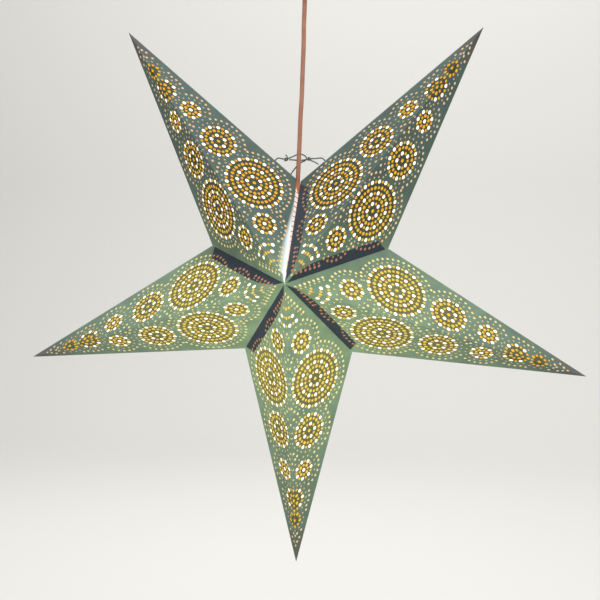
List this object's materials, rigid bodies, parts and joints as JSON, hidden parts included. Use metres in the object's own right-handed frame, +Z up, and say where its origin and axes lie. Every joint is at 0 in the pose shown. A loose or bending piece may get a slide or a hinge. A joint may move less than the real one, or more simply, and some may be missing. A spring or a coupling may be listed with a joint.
{
  "type": "paper star lantern",
  "caption": "Five-pointed folded paper star lantern with punched rosettes, hung by its lead from a ceiling cup, with a lamp inside.",
  "frame": {"origin": "middle of the ceiling bracket's top face, where it meets the ceiling", "axes": "+Z up, the star's front faces -Y, +X to the viewer's right"},
  "size_m": [0.5706, 0.1792, 0.62],
  "materials": {
    "card": "matt grey-green card, folded and punched",
    "tissue": "thin translucent tissue with coloured dots, lit from inside",
    "string": "thin twisted string",
    "lead": "salmon plastic sheath",
    "white_plastic": "moulded white plastic",
    "insulator": "heat resisting moulding",
    "contact_metal": "pressed brass",
    "bulb_glass": "frosted glass, lit",
    "steel": "zinc plated steel"
  },
  "bodies": {
    "root": {"point_top_left": "card", "point_left": "card", "point_bottom": "card", "point_right": "card", "point_top_right": "card", "tissue_top_left": "tissue", "tissue_left": "tissue", "tissue_bottom": "tissue", "tissue_right": "tissue", "tissue_top_right": "tissue", "tie_left": "string", "tie_right": "string", "lead": "lead", "holder_grip": "white_plastic", "holder_cap": "white_plastic", "holder_shell": "white_plastic", "holder_insert": "insulator", "lamp_screw_shell": "contact_metal", "lamp_contact": "contact_metal", "bulb": "bulb_glass", "ceiling_cup": "white_plastic", "ceiling_bracket": "steel", "cup_grip": "white_plastic", "cup_screws": "steel", "terminal_block": "insulator"}
  },
  "joints": []
}
